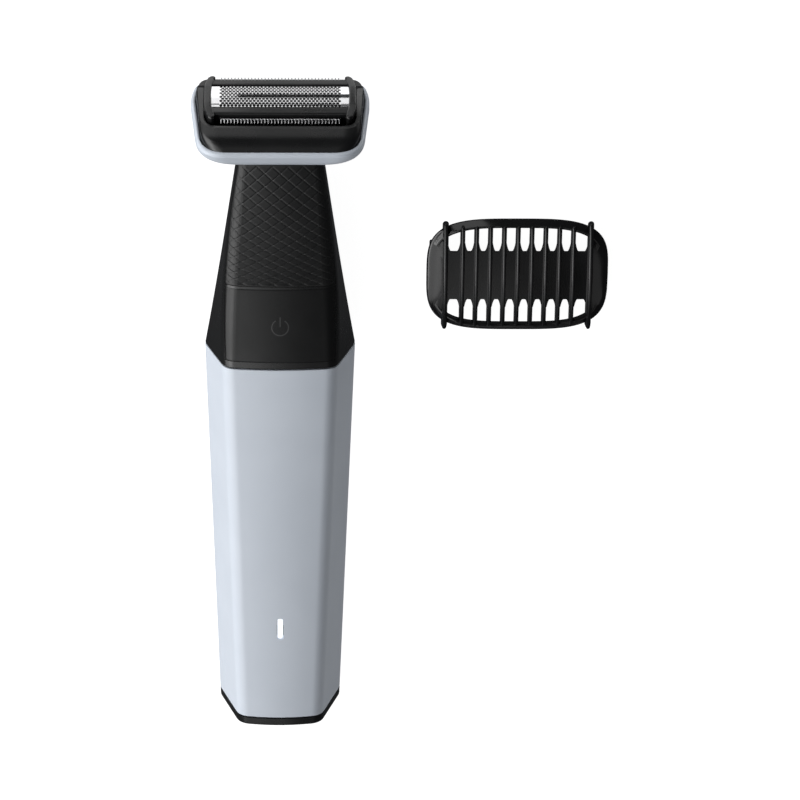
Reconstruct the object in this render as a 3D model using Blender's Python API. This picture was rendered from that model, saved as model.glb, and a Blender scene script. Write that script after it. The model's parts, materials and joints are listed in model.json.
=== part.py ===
"""Cordless body groomer with a foil shaving head, lying on its back, and its click-on comb beside it.

Everything is worked out in millimetres and turned into metres when a mesh is made. Three empties
place the pieces. "groomer" has Y running from the base to the head and Z from the flat back to the
front. "head" sits on top of the foil, its Y running across the blades and its Z out of the foil.
"comb" stands in the middle of the loose comb, on the surface that it lies on.
"""
import math

import bmesh
import bpy
from mathutils import Vector

MM = 0.001
GAP = 0.3            # clearance between neighbouring pieces
WALL = 1.8           # shell thickness
REST_Y = 60.0        # distance from the base to the origin, in the middle of the flat back

# Handle sections: how far along, then half-widths and heights of the flat back, the widest line
# and the front face, the height of the front's crown, and how far each corner's rounding reaches.
SECTION = ("y", "back_x", "back_z", "wide_x", "wide_z", "front_x", "front_z", "crown_z",
           "back_ease", "wide_ease", "front_ease")
BASE_SECTION = (0.0, 12.0, 0.0, 18.1, 6.3, 11.6, 26.0, 27.0, 3.0, 3.6, 3.2)
SPLIT_SECTION = (113.0, 14.5, 0.0, 22.0, 6.6, 15.3, 26.5, 27.5, 3.5, 4.4, 3.4)
MID_SECTION = (142.5, 12.5, 1.2, 16.5, 9.5, 15.2, 24.3, 25.2, 3.5, 4.0, 4.6)
NECK_SECTION = (172.0, 8.6, 4.4, 12.0, 13.0, 11.6, 20.6, 21.5, 3.0, 3.0, 3.0)
SPLIT_Y = SPLIT_SECTION[0]
NECK_Y = NECK_SECTION[0]
CAP_Y = 2.3          # where the base cap's rim meets the pale shells
JOINT_COLLAR_Y = (105.0, 114.6)
GRIP_Y = (137.2, 169.5)
BUTTON_Y = (115.2, 136.4)
BUTTON_MIDDLE = 124.9
PANEL_EDGE = 0.9     # how far the grip's panels stay inside the front face's edge
GRIP_SCREW_Y = 123.0
LED_Y = (28.3, 35.0)
LED_WIDTH = 1.9

# Drive and electrics, in the groomer's frame.
DRIVE_Z = 12.5
MOTOR_Y = (131.0, 156.0)
MOTOR_X = 10.0
MOTOR_HALF_DEPTH = 7.6
SHAFT_R = 1.0
CRANK = 0.9          # the eccentric pin's distance from the shaft
CRANK_PIN_R = 0.8
CRANK_Y = (158.4, 161.6)
YOKE_Y = (163.4, 168.6)
CELL_R = 7.1
CELL_Y = (22.0, 72.0)
BOARD_Z = 19.6
BOARD_Y = (13.0, 129.0)

# Head, in its own frame: x along the foil, y towards the back trimmer, z out of the foil.
HEAD_ORIGIN = (189.9, 16.0)
HEAD_TILT = 20.0
FOIL_X = 18.8
FOIL_EDGES = (-4.4, 3.7)
FOIL_RADIUS = 14.0
FOIL_SHEET = 0.25
FRAME_X = 20.5
FRAME_FRONT = -9.3
FRAME_BACK = 9.2
FRAME_FLOOR = -8.0
FRAME_STEP = -3.4    # below this the frame is narrower
CHEEK_X = 19.0       # inner side of the frame's end cheeks
TEETH_X = 16.5
TEETH = 36
GUARD_Z = -1.9
WELL_FRONT = -10.3   # the casing's well leaves room in front of the front teeth
CASING_TOP = -2.2
CASING_BACK_TOP = -4.3
RIM_TOP = -6.5
RIM_BOTTOM = -10.9
CASING_FLOOR = (-11.6, -8.8)

# Loose comb.
COMB_XY = (66.3, 132.2)
COMB_HALF = (25.5, 16.8)
COMB_POWER = 3.6
COMB_RING_Z = (4.3, 6.6)
COMB_LEG_Y = 8.5
COMB_PLATE_Y = 7.1
COMB_PLATE_Z = (4.8, 6.0)
COMB_RIB_PITCH = 3.86
COMB_THIN_RIBS = 9
COMB_THICK_RIB_X = 20.25

BLACK = (0.012, 0.012, 0.013)
PALE = (0.42, 0.48, 0.56)
STEEL = (0.75, 0.75, 0.76)
BRASS = (0.72, 0.50, 0.22)


# ---------------------------------------------------------------- making objects

def material(name, colour, roughness=0.4, metallic=0.0):
    made = bpy.data.materials.get(name)
    if made is None:
        made = bpy.data.materials.new(name)
        made.use_nodes = True
        shader = made.node_tree.nodes["Principled BSDF"]
        shader.inputs["Base Color"].default_value = (*colour, 1.0)
        shader.inputs["Roughness"].default_value = roughness
        shader.inputs["Metallic"].default_value = metallic
        made.diffuse_color = (*colour, 1.0)
    return made


def empty(name, parent=None, place=(0, 0, 0), tilt=0.0):
    made = bpy.data.objects.new(name, None)
    bpy.context.scene.collection.objects.link(made)
    made.parent = parent
    made.location = Vector(place) * MM
    made.rotation_euler = (math.radians(tilt), 0, 0)
    return made


def together(*shapes):
    """One list of points and faces for several shapes that don't overlap."""
    points = []
    faces = []
    for some_points, some_faces in shapes:
        start = len(points)
        points += list(some_points)
        faces += [[start + i for i in face] for face in some_faces]
    return points, faces


def solid(name, shape, look, parent, pivot=(0, 0, 0)):
    """An object from points in millimetres, in its parent's frame, with its origin at the pivot."""
    points, faces = shape
    mesh = bpy.data.meshes.new(name)
    made = bpy.data.objects.new(name, mesh)
    bm = bmesh.new()
    corners = [bm.verts.new((Vector(p) - Vector(pivot)) * MM) for p in points]
    for face in faces:
        bm.faces.new([corners[i] for i in face])
    bmesh.ops.recalc_face_normals(bm, faces=bm.faces)
    bm.to_mesh(mesh)
    bm.free()
    mesh.shade_smooth()
    mesh.set_sharp_from_angle(angle=math.radians(35))
    mesh.materials.append(look)
    bpy.context.scene.collection.objects.link(made)
    made.parent = parent
    made.location = Vector(pivot) * MM
    return made


def carve(target, shape, operation="DIFFERENCE", parent=None):
    """Cuts a shape out of an object, or joins it on. The shape is in the parent's frame."""
    tool = solid(target.name + "_tool", shape, material("tool", (1, 0, 0)), parent or target.parent)
    tool.hide_render = True
    tool.display_type = "WIRE"
    step = target.modifiers.new(operation.lower(), "BOOLEAN")
    step.operation = operation
    step.object = tool
    step.solver = "EXACT"
    return target


# ---------------------------------------------------------------- shapes

def loft(rings):
    """A closed solid through rings of equal numbers of points, with a flat cap at both ends."""
    count = len(rings[0])
    points = [p for ring in rings for p in ring]
    faces = [list(range(count)), [len(points) - count + i for i in range(count)]]
    for k in range(len(rings) - 1):
        for i in range(count):
            j = (i + 1) % count
            faces.append([k * count + i, k * count + j, (k + 1) * count + j, (k + 1) * count + i])
    return points, faces


def tube(outer, inner):
    """A closed wall between outer and inner rings, open at both ends."""
    count = len(outer[0])
    last = len(outer) - 1
    points = [p for rings in (outer, inner) for ring in rings for p in ring]
    half = len(outer) * count
    faces = []
    for i in range(count):
        j = (i + 1) % count
        for k in range(last):
            for start in (0, half):
                a = start + k * count
                faces.append([a + i, a + j, a + count + j, a + count + i])
        for a in (0, last * count):
            faces.append([a + i, a + j, half + a + j, half + a + i])
    return points, faces


def prism(outline, low, high, along="z"):
    """A flat outline pushed out along an axis. The outline's two numbers are the other two axes."""
    place = {"x": lambda a, b, c: (c, a, b), "y": lambda a, b, c: (a, c, b),
             "z": lambda a, b, c: (a, b, c)}[along]
    return loft([[place(a, b, c) for a, b in outline] for c in (low, high)])


def box(x, y, z):
    return prism([(x[0], y[0]), (x[1], y[0]), (x[1], y[1]), (x[0], y[1])], *z)


def disc(radius, low, high, centre=(0, 0), along="z", sides=24):
    turns = [2 * math.pi * i / sides for i in range(sides)]
    outline = [(centre[0] + radius * math.cos(t), centre[1] + radius * math.sin(t)) for t in turns]
    return prism(outline, low, high, along)


def bend(before, corner, after, ease, steps):
    """Points of a smooth bend in place of a corner, reaching ease along both of its sides."""
    here, back, ahead = Vector(corner), Vector(before) - Vector(corner), Vector(after) - Vector(corner)
    reach = min(ease, back.length * 0.48, ahead.length * 0.48)
    start = here + back.normalized() * reach
    end = here + ahead.normalized() * reach
    shares = [k / steps for k in range(steps + 1)]
    return [tuple(start * (1 - t) ** 2 + here * 2 * t * (1 - t) + end * t ** 2) for t in shares]


def rounded(corners, eases, steps=5):
    """A closed polygon with every corner bent."""
    outline = []
    for i, ease in enumerate(eases):
        outline += bend(corners[i - 1], corners[i], corners[(i + 1) % len(corners)], ease, steps)
    return outline


def rounded_side(corners, eases, steps):
    """The same for an open run of corners, whose two ends are left out."""
    points = []
    for i, ease in enumerate(eases, start=1):
        points += bend(corners[i - 1], corners[i], corners[i + 1], ease, steps)
    return points


def bar(x, y, z, ease, steps=3):
    """A box with its four upright edges rounded."""
    corners = [(x[0], y[0]), (x[1], y[0]), (x[1], y[1]), (x[0], y[1])]
    return prism(rounded(corners, [ease] * 4, steps), *z)


def coil(radius, wire, low, high, turns, centre, per_turn=8, sides=5):
    """A round wire wound into a spring along z."""
    rings = []
    for k in range(int(turns * per_turn) + 1):
        angle = 2 * math.pi * k / per_turn
        out = Vector((math.cos(angle), math.sin(angle), 0))
        rise = low + (high - low) * k / (turns * per_turn)
        middle = Vector((*centre, rise)) + out * radius
        ring = []
        for i in range(sides):
            turn = 2 * math.pi * i / sides
            ring.append(tuple(middle + (out * math.cos(turn) + Vector((0, 0, math.sin(turn)))) * wire))
        rings.append(ring)
    return loft(rings)


# ---------------------------------------------------------------- the handle's outside

def section(y):
    """The section's measures at one place along the handle: straight to the split, then a curve."""
    if y <= SPLIT_Y:
        t = y / SPLIT_Y
        values = [a + (b - a) * t for a, b in zip(BASE_SECTION, SPLIT_SECTION)]
    else:
        t = (y - SPLIT_Y) / (NECK_Y - SPLIT_Y)
        values = [a * (1 - t) * (1 - 2 * t) + b * 4 * t * (1 - t) + c * t * (2 * t - 1)
                  for a, b, c in zip(SPLIT_SECTION, MID_SECTION, NECK_SECTION)]
    return dict(zip(SECTION, values))


def half_section(y, inset=0.0, steps=4):
    """Points (x, z) up the right side, from the middle of the back to the crown of the front."""
    s = section(y)
    back_z = s["back_z"] + inset
    corners = [(0, back_z), (s["back_x"] - inset * 0.6, back_z), (s["wide_x"] - inset, s["wide_z"]),
               (s["front_x"] - inset, s["front_z"] - inset), (0, s["crown_z"] - inset)]
    eases = [s["back_ease"], s["wide_ease"], s["front_ease"]]
    points = [corners[0]] + rounded_side(corners, eases, steps)
    edge = points[-1]
    flat = corners[-1]
    for t in (0.35, 0.7, 1.0):
        points.append((edge[0] * (1 - t), edge[1] + (flat[1] - edge[1]) * (1 - (1 - t) ** 2)))
    return points


PARTING = 1 + 5 + 2       # index of the widest point in half_section


def full_ring(y, inset=0.0):
    right = half_section(y, inset)
    left = [(-x, z) for x, z in reversed(right[1:-1])]
    return [(x, y, z) for x, z in right + left]


def half_wall(y, front, inset=0.0, wall=WALL):
    """The closed section of a front or back shell: outside round, then inside back."""
    rim = GAP / 2 if front else -GAP / 2
    sides = []
    for depth in (inset, inset + wall):
        right = half_section(y, depth)
        right = right[PARTING:] if front else right[:PARTING + 1]
        edge = 0 if front else -1
        right[edge] = (right[edge][0], right[edge][1] + rim)
        path = right if front else list(reversed(right))
        sides.append(path + [(-x, z) for x, z in reversed(path[:-1])])
    outline = sides[0] + list(reversed(sides[1]))
    return [(x, y, z) for x, z in outline]


def steps_between(low, high, count):
    return [low + (high - low) * i / count for i in range(count + 1)]


def shell(name, span, count, front, look, parent):
    rings = [half_wall(y, front) for y in steps_between(*span, count)]
    return solid(name, loft(rings), look, parent)


def front_height(x, y):
    """Height of the front surface above the back plane, at one point of it."""
    line = half_section(y)[PARTING:]
    for (x0, z0), (x1, z1) in zip(line, line[1:]):
        if x1 <= abs(x) <= x0:
            return z1 + (z0 - z1) * (abs(x) - x1) / (x0 - x1)
    return line[0][1]


def front_patch(span, side, depth, lift=0.0, across=8, along=6):
    """A panel that follows the front: side is its distance in from the front face's edge."""
    rings = []
    for y in steps_between(*span, along):
        reach = section(y)["front_x"] - side
        xs = steps_between(-reach, reach, across)
        top = [(x, y, front_height(x, y) + lift) for x in xs]
        under = [(x, y, front_height(x, y) - depth) for x in reversed(xs)]
        rings.append(top + under)
    return loft(rings)


# ---------------------------------------------------------------- handle pieces

def make_shells(groomer, pale, black):
    front = shell("front_body_shell", (CAP_Y + GAP, SPLIT_Y - GAP / 2), 3, True, pale, groomer)
    shell("back_body_shell", (CAP_Y + GAP, SPLIT_Y - GAP / 2), 3, False, pale, groomer)
    slot = rounded([(-LED_WIDTH / 2, LED_Y[0]), (LED_WIDTH / 2, LED_Y[0]),
                    (LED_WIDTH / 2, LED_Y[1]), (-LED_WIDTH / 2, LED_Y[1])], [0.9] * 4, 4)
    carve(front, prism(slot, 20, 30))
    grip = shell("grip_front_shell", (SPLIT_Y + GAP / 2, NECK_Y), 8, True, black, groomer)
    carve(grip, front_patch((BUTTON_Y[0] - GAP, BUTTON_Y[1] + GAP), PANEL_EDGE - GAP, 4.5, 2.0))
    carve(grip, front_patch((GRIP_Y[0] - GAP, GRIP_Y[1] + GAP), PANEL_EDGE - GAP, 1.15, 2.0))
    back = shell("grip_back_shell", (SPLIT_Y + GAP / 2, NECK_Y), 8, False, black, groomer)
    carve(back, disc(1.9, -3, 1.6, (0, GRIP_SCREW_Y), "z", 16))
    carve(back, disc(1.2, -3, 10, (0, GRIP_SCREW_Y), "z", 16))
    solid("grip_pad", front_patch(GRIP_Y, PANEL_EDGE, 0.8), black, groomer)
    button = front_patch(BUTTON_Y, PANEL_EDGE, 1.6)
    crown = front_height(0, BUTTON_MIDDLE)
    stem = disc(2.0, crown - 2.4, crown - 1.0, (0, BUTTON_MIDDLE), "z", 16)
    carve(solid("power_button", button, black, groomer), stem, "UNION")


def make_base(groomer, black, metal):
    """End cap with its plug into the shells, the charging inlet and the two cap screws."""
    rings = [full_ring(0.0, 0.5), full_ring(0.5, 0.1), full_ring(CAP_Y, 0.0),
             full_ring(CAP_Y + 0.01, WALL + GAP), full_ring(8.0, WALL + GAP)]
    cap = solid("base_cap", loft(rings), black, groomer)
    inlet = [(x * 3.4, 12.5 + z * 2.2) for x, z in ((-1, -1), (1, -1), (1, 1), (-1, 1))]
    carve(cap, prism(rounded(inlet, [1.4] * 4, 3), -1, 9.0, "y"))
    for side in (-1, 1):
        carve(cap, disc(1.9, -1, 1.6, (side * 9.5, 12.5), "y", 16))
        carve(cap, disc(1.2, -1, 9.0, (side * 9.5, 12.5), "y", 16))
    socket = [(x * 3.1, 12.5 + z * 1.9) for x, z in ((-1, -1), (1, -1), (1, 1), (-1, 1))]
    body = solid("charging_socket", prism(rounded(socket, [1.2] * 4, 3), 0.5, 11.0, "y"), black, groomer)
    well = [(x * 2.4, 12.5 + z * 1.2) for x, z in ((-1, -1), (1, -1), (1, 1), (-1, 1))]
    carve(body, prism(rounded(well, [0.8] * 4, 3), -1, 8.0, "y"))
    for name, side in (("left", -1), ("right", 1)):
        carve(body, disc(0.75, 7.0, 12.0, (side * 1.2, 12.5), "y", 8))
        solid(f"socket_pin_{name}", disc(0.4, 2.5, 13.0, (side * 1.2, 12.5), "y", 10), metal, groomer)
        screw(f"base_screw_{name}", (side * 9.5, 12.5), 0.4, 9.6, "y", metal, groomer)


def screw(name, centre, head_at, length, along, metal, parent, head_r=1.6, shank_r=0.9):
    """A cross-headed screw, its head at head_at and its shank running to head_at + length."""
    head = disc(head_r, head_at, head_at + 1.0, centre, along, 16)
    made = solid(name, head, metal, parent)
    carve(made, disc(shank_r, head_at + 0.5, head_at + length, centre, along, 12), "UNION")
    for a, b in ((1.0, 0.22), (0.22, 1.0)):
        cross = [(centre[0] + x * a, centre[1] + y * b) for x, y in ((-1, -1), (1, -1), (1, 1), (-1, 1))]
        carve(made, prism(cross, head_at - 0.5, head_at + 0.5, along))
    return made


def make_inside(groomer, plastic, metal, board_green, cell_look):
    """Chassis, cells, board, switch and lamp, all inside the shells."""
    chassis = solid("chassis", box((-10.3, 10.3), (12.0, 103.5), (2.3, 3.5)), plastic, groomer)
    for y in (12.0, 76.0, 102.0):
        carve(chassis, box((-11.8, 11.8), (y, y + 1.5), (3.2, 19.0)), "UNION")
    carve(chassis, box((-4.0, 4.0), (11.0, 14.5), (9.5, 15.5)))
    for name, side in (("left", -1), ("right", 1)):
        centre = (side * 7.35, 10.9)
        cell = solid(f"battery_cell_{name}", disc(CELL_R, *CELL_Y, centre, "y", 28), cell_look, groomer)
        carve(cell, disc(2.6, CELL_Y[1] - 1, CELL_Y[1] + 1.2, centre, "y", 16), "UNION")
        strip = box((side * 7.35 - 2.5, side * 7.35 + 2.5), (CELL_Y[1] + 1.6, CELL_Y[1] + 2.0), (6.0, 18.0))
        solid(f"battery_contact_{name}", strip, metal, groomer)
    link = box((-12.0, 12.0), (CELL_Y[0] - 1.0, CELL_Y[0] - 0.6), (8.0, 13.0))
    solid("battery_link", link, metal, groomer)
    solid("circuit_board", bar((-8.5, 8.5), BOARD_Y, (BOARD_Z, BOARD_Z + 1.2), 1.5), board_green, groomer)
    board_top = BOARD_Z + 1.2 + GAP
    solid("tact_switch", bar((-3.0, 3.0), (BUTTON_MIDDLE - 3.0, BUTTON_MIDDLE + 3.0),
                             (board_top, board_top + 2.0), 0.5), plastic, groomer)
    middle = sum(LED_Y) / 2
    solid("led", bar((-1.2, 1.2), (middle - 1.4, middle + 1.4), (board_top, board_top + 0.9), 0.3),
          metal, groomer)
    half = LED_WIDTH / 2 - GAP / 2
    lens = rounded([(-half, LED_Y[0] + 0.15), (half, LED_Y[0] + 0.15), (half, LED_Y[1] - 0.15),
                    (-half, LED_Y[1] - 0.15)], [0.75] * 4, 4)
    top = front_height(0, middle) - 0.25
    solid("light_pipe", prism(lens, board_top + 1.2, top), material("lens", (0.9, 0.93, 1.0), 0.2), groomer)
    solid("joint_collar", tube([full_ring(y, WALL + GAP) for y in JOINT_COLLAR_Y],
                               [full_ring(y, WALL + GAP + 1.0) for y in JOINT_COLLAR_Y]), plastic, groomer)


def make_motor(groomer, metal, plastic, brass):
    """Flat-sided motor, its end bell and terminals, and the cradle that holds it."""
    half = MOTOR_HALF_DEPTH
    can = [(-MOTOR_X, DRIVE_Z - half), (MOTOR_X, DRIVE_Z - half), (MOTOR_X, DRIVE_Z + half),
           (-MOTOR_X, DRIVE_Z + half)]
    can_body = prism(rounded(can, [6.5] * 4, 5), MOTOR_Y[0] + 2.4, MOTOR_Y[1], "y")
    motor = solid("motor", can_body, metal, groomer)
    centre = (0, DRIVE_Z)
    carve(motor, disc(3.0, MOTOR_Y[1] - 0.5, MOTOR_Y[1] + 1.4, centre, "y", 20), "UNION")
    carve(motor, disc(SHAFT_R + GAP, MOTOR_Y[1] - 8, MOTOR_Y[1] + 3, centre, "y", 16))
    inner = [(x * 0.95, DRIVE_Z + (z - DRIVE_Z) * 0.95) for x, z in can]
    solid("motor_end_bell", prism(rounded(inner, [6.0] * 4, 5), MOTOR_Y[0], MOTOR_Y[0] + 2.1, "y"),
          plastic, groomer)
    for name, side in (("left", -1), ("right", 1)):
        tab = box((side * 6.0 - 1.2, side * 6.0 + 1.2), (MOTOR_Y[0] - 4.0, MOTOR_Y[0] - GAP), (12.0, 12.5))
        solid(f"motor_terminal_{name}", tab, brass, groomer)
    cradle = solid("motor_cradle", box((-8.5, 8.5), (119.0, 146.0), (3.5, 4.5)), plastic, groomer)
    carve(cradle, box((-8.5, 8.5), (119.0, MOTOR_Y[0] - GAP), (2.6, 8.0)), "UNION")
    carve(cradle, disc(1.2, -1, 9.0, (0, GRIP_SCREW_Y), "z", 16))


def make_drive(groomer, head, metal, plastic):
    """Shaft and eccentric turn about Y. The yoke is pushed from side to side by the pin."""
    centre = (0, DRIVE_Z)
    pivot = (0, CRANK_Y[0], DRIVE_Z)
    shaft = disc(SHAFT_R, MOTOR_Y[1] - 7.5, CRANK_Y[0] + 2.0, centre, "y", 16)
    solid("motor_shaft", shaft, metal, groomer, pivot)
    cam = solid("eccentric_cam", disc(4.0, *CRANK_Y, centre, "y", 28), plastic, groomer, pivot)
    pin = disc(CRANK_PIN_R, CRANK_Y[1] - 1, YOKE_Y[0] + 2.6, (CRANK, DRIVE_Z), "y", 14)
    carve(cam, pin, "UNION")
    carve(cam, disc(SHAFT_R + GAP, CRANK_Y[0] - 1, CRANK_Y[0] + 2.4, centre, "y", 16))
    yoke = solid("drive_yoke", box((-4.4, 4.4), YOKE_Y, (8.2, 17.2)), plastic, groomer)
    reach = CRANK_PIN_R + 2 * CRANK + GAP
    rise = CRANK_PIN_R + CRANK + GAP
    carve(yoke, box((-reach, reach), (YOKE_Y[0] - 1, YOKE_Y[0] + 3.4), (DRIVE_Z - rise, DRIVE_Z + rise)))
    carve(yoke, disc(1.5, -22.4, -6.9, (0, -1.2), "z", 16), "UNION", head)


# ---------------------------------------------------------------- head

def head_outline(side, front, back, ease_front, taper=0.9, steps=6):
    """Outline round the head in its own frame: widest a little behind the foil."""
    corners = [(side * taper, front), (side, 6.5), (side * 0.93, back)]
    points = rounded_side([(0, front)] + corners + [(0, back)], [ease_front, 4.0, 3.0], steps)
    return points + [(-x, y) for x, y in reversed(points)]


def head_to_groomer(x, across, out):
    tilt = math.radians(HEAD_TILT)
    y = HEAD_ORIGIN[0] + across * math.sin(tilt) + out * math.cos(tilt)
    z = HEAD_ORIGIN[1] - across * math.cos(tilt) + out * math.sin(tilt)
    return (x, y, z)


def neck_end_ring(outline, inset):
    """The neck's end section, resampled by angle to match a head outline's points."""
    y = NECK_Y + GAP
    ring = [(x, z) for x, _, z in full_ring(y, inset)]
    middle = DRIVE_Z + 0.5
    points = [ray_hit(ring, middle, math.atan2(-across - 1.5, x)) for x, across in outline]
    return [(x, y, z) for x, z in points]


def ray_hit(ring, middle, angle):
    """Where a ray from the section's middle meets the section's outline."""
    aim = Vector((math.cos(angle), math.sin(angle)))
    best = None
    for (x0, z0), (x1, z1) in zip(ring, ring[1:] + ring[:1]):
        a = Vector((x0, z0 - middle))
        side = Vector((x1 - x0, z1 - z0))
        cross = aim.x * side.y - aim.y * side.x
        if abs(cross) < 1e-9:
            continue
        along = (a.x * side.y - a.y * side.x) / cross
        share = (a.x * aim.y - a.y * aim.x) / cross
        if along > 0 and -1e-9 <= share <= 1 + 1e-9 and (best is None or along > best):
            best = along
    return (aim.x * best, middle + aim.y * best)


def head_ring(outline, out, inset=0.0):
    """A head outline at one height, in the groomer's frame, drawn in by inset."""
    return [head_to_groomer(x * (1 - inset / 25), y * (1 - inset / 16), out) for x, y in outline]


def make_collar(groomer, pale):
    """The pale collar that runs from the head's rim down to the neck."""
    rim = head_outline(24.6, -17.5, 12.8, 7.5)
    base = head_outline(23.9, -16.3, 12.2, 9.0)
    low = head_outline(18.0, -12.7, 9.6, 8.0)
    outer = [head_ring(rim, RIM_TOP), head_ring(rim, RIM_TOP - 1.5), head_ring(base, RIM_BOTTOM),
             head_ring(low, -14.0), neck_end_ring(low, 0.0)]
    mouth = head_outline(23.4, -16.8, 12.0, 6.5)
    inner = [head_ring(mouth, RIM_TOP), head_ring(mouth, RIM_TOP - 1.5), head_ring(base, RIM_BOTTOM, 1.5),
             head_ring(low, -14.0, 1.8), neck_end_ring(low, WALL)]
    solid("head_collar", tube(outer, inner), pale, groomer)


def make_casing(head, black, rubber):
    top = head_outline(22.6, -11.2, 10.3, 4.5, 0.95)
    shoulder = head_outline(23.0, -14.6, 11.1, 5.0, 0.93)
    seat = head_outline(23.1, -16.5, 11.7, 6.2)
    inside = head_outline(22.8, -14.3, 10.8, 8.0)
    lower = head_outline(22.2, -13.4, 10.4, 8.0)
    toe = head_outline(19.4, -11.6, 8.6, 6.0)
    levels = ((top, CASING_TOP), (shoulder, CASING_TOP - 1.7), (seat, RIM_TOP), (inside, RIM_TOP - 0.3),
              (inside, -8.4), (lower, CASING_FLOOR[0] + 1.4), (toe, CASING_FLOOR[0]))
    casing = solid("head_casing", loft([[(x, y, z) for x, y in ring] for ring, z in levels]), black, head)
    well = stepped(frame_outline(GAP - 0.8), frame_outline(GAP, WELL_FRONT), CASING_FLOOR[1],
                   FRAME_STEP - GAP, 2.0)
    carve(casing, well)
    lowered = [(5.0, 2.0), (5.0, CASING_TOP), (8.6, CASING_BACK_TOP), (15.0, CASING_BACK_TOP), (15.0, 2.0)]
    carve(casing, prism(lowered, -30.0, 30.0, "x"))
    carve(casing, disc(4.6, CASING_FLOOR[0] - 1, CASING_FLOOR[1] + 1, (0, -1.2), "z", 24))
    seal = solid("shaft_seal", disc(4.3, -11.0, -10.0, (0, -1.2), "z", 24), rubber, head)
    carve(seal, disc(2.9, -12.0, -9.0, (0, -1.2), "z", 20))


def frame_outline(grow=0.0, front=FRAME_FRONT):
    """The cartridge frame in plan, its front corners rounder than its back ones."""
    side = FRAME_X + grow
    corners = [(-side, front - grow), (side, front - grow),
               (side, FRAME_BACK + grow), (-side, FRAME_BACK + grow)]
    return rounded(corners, [4.4, 4.4, 3.2, 3.2], 4)


def stepped(lower, upper, low, step, high):
    """Two prisms on top of each other, the upper one wider."""
    levels = ((lower, low), (lower, step), (upper, step), (upper, high))
    return loft([[(x, y, z) for x, y in outline] for outline, z in levels])


def arch(across):
    """Height of the foil's outside over its crown, at a distance across it."""
    return math.sqrt(FOIL_RADIUS ** 2 - across ** 2) - FOIL_RADIUS


def make_cartridge(head, black):
    """The frame that pulls off: two bars, two end cheeks and a horn at each corner."""
    ends = (FRAME_FRONT, FRAME_BACK)
    cheek = rounded([(ends[0], FRAME_FLOOR), (ends[1], FRAME_FLOOR), (ends[1], -1.4), (3.5, 1.0),
                     (-3.5, 1.0), (ends[0], -1.8)], [0.8, 0.8, 1.3, 2.5, 2.5, 1.3], 3)
    frame = solid("cartridge_frame", together(prism(cheek, CHEEK_X + GAP, FRAME_X, "x"),
                                              prism(cheek, -FRAME_X, -CHEEK_X - GAP, "x")), black, head)
    reach = CHEEK_X + 0.7
    bars = together(box((-reach, reach), (-7.2, FOIL_EDGES[0] - 0.35), (-7.6, -0.55)),
                    box((-reach, reach), (FOIL_EDGES[1] + 0.5, 6.5), (-7.6, -0.4)))
    carve(frame, bars, "UNION")
    horns = []
    for low, high in ((ends[0], -6.7), (7.0, ends[1])):
        inner = TEETH_X + GAP
        outline = rounded([(inner, low), (reach, low), (reach, high), (inner, high)], [1.1, 0.1, 0.1, 1.1], 4)
        horns.append(prism(outline, FRAME_STEP, -0.5))
        horns.append(prism([(-x, y) for x, y in reversed(outline)], FRAME_STEP, -0.5))
    carve(frame, together(*horns), "UNION")
    carve(frame, stepped(frame_outline(-0.8), frame_outline(), FRAME_FLOOR - 1, FRAME_STEP, 2.0), "INTERSECT")


def make_foil(head, steel):
    across = steps_between(*FOIL_EDGES, 12)
    over = [(y, arch(y)) for y in across]
    under = [(y, arch(y) - FOIL_SHEET) for y in reversed(across)]
    solid("shaving_foil", prism(over + under, -FOIL_X, FOIL_X, "x"), steel, head)


def toothed(reach, teeth, root, tip, fill=0.5):
    """Outline of a comb strip: a straight back at root, and teeth that reach out to tip."""
    pitch = 2 * reach / teeth
    neck = root + (tip - root) * 0.45
    outline = [(-reach, root)]
    edge = []
    for k in range(teeth):
        middle = -reach + (k + 0.5) * pitch
        half = pitch * fill / 2
        edge += [(middle - half, neck), (middle - half * 0.55, tip), (middle + half * 0.55, tip),
                 (middle + half, neck)]
    return outline + edge + [(reach, root)]


def make_trimmers(head, steel):
    for name, root, tip in (("front", -7.5, -9.6), ("back", 6.8, 9.2)):
        inward = 1 if name == "front" else -1
        guard = toothed(TEETH_X - 0.1, TEETH, root, tip)
        solid(f"{name}_trimmer_guard", prism(guard, GUARD_Z - 0.4, GUARD_Z), steel, head)
        blade = toothed(TEETH_X - 2.2, TEETH - 5, root, tip + inward * 0.4, 0.55)
        solid(f"{name}_trimmer_blade", prism(blade, GUARD_Z - 1.1, GUARD_Z - 0.7), steel, head)


def make_cutter(head, plastic, steel):
    """The carrier on the drive pin, the cutter under the foil and the springs between them."""
    carrier = solid("cutter_carrier", box((-15.5, 15.5), (-3.9, 3.9), (-7.4, -5.6)), plastic, head)
    carve(carrier, disc(1.5 + GAP, -8.0, -6.4, (0, -1.2), "z", 16))
    blades = 20
    pitch = 34.0 / blades
    rings = []
    for y in (-3.6, 0.0, 3.6):
        top = arch(y) - FOIL_SHEET - GAP
        outline = [(-17.0, -3.4)]
        for k in range(blades):
            left = -17.0 + (k + 0.3) * pitch
            right = left + 0.4 * pitch
            outline += [(left, -2.4), (left, top), (right, top), (right, -2.4)]
        outline.append((17.0, -3.4))
        rings.append([(x, y, z) for x, z in outline])
    solid("foil_cutter", loft(rings), steel, head)
    for name, side in (("left", -1), ("right", 1)):
        spring = coil(1.1, 0.22, -5.0, -4.0, 2.5, (side * 9.0, 0))
        solid(f"cutter_spring_{name}", spring, steel, head)


# ---------------------------------------------------------------- loose comb

def comb_outline(inset=0.0, count=36):
    outline = []
    for k in range(count):
        t = 2 * math.pi * k / count
        c, s = math.cos(t), math.sin(t)
        x = (COMB_HALF[0] - inset) * math.copysign(abs(c) ** (2 / COMB_POWER), c)
        y = (COMB_HALF[1] - inset) * math.copysign(abs(s) ** (2 / COMB_POWER), s)
        outline.append((x, y))
    return outline


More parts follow.
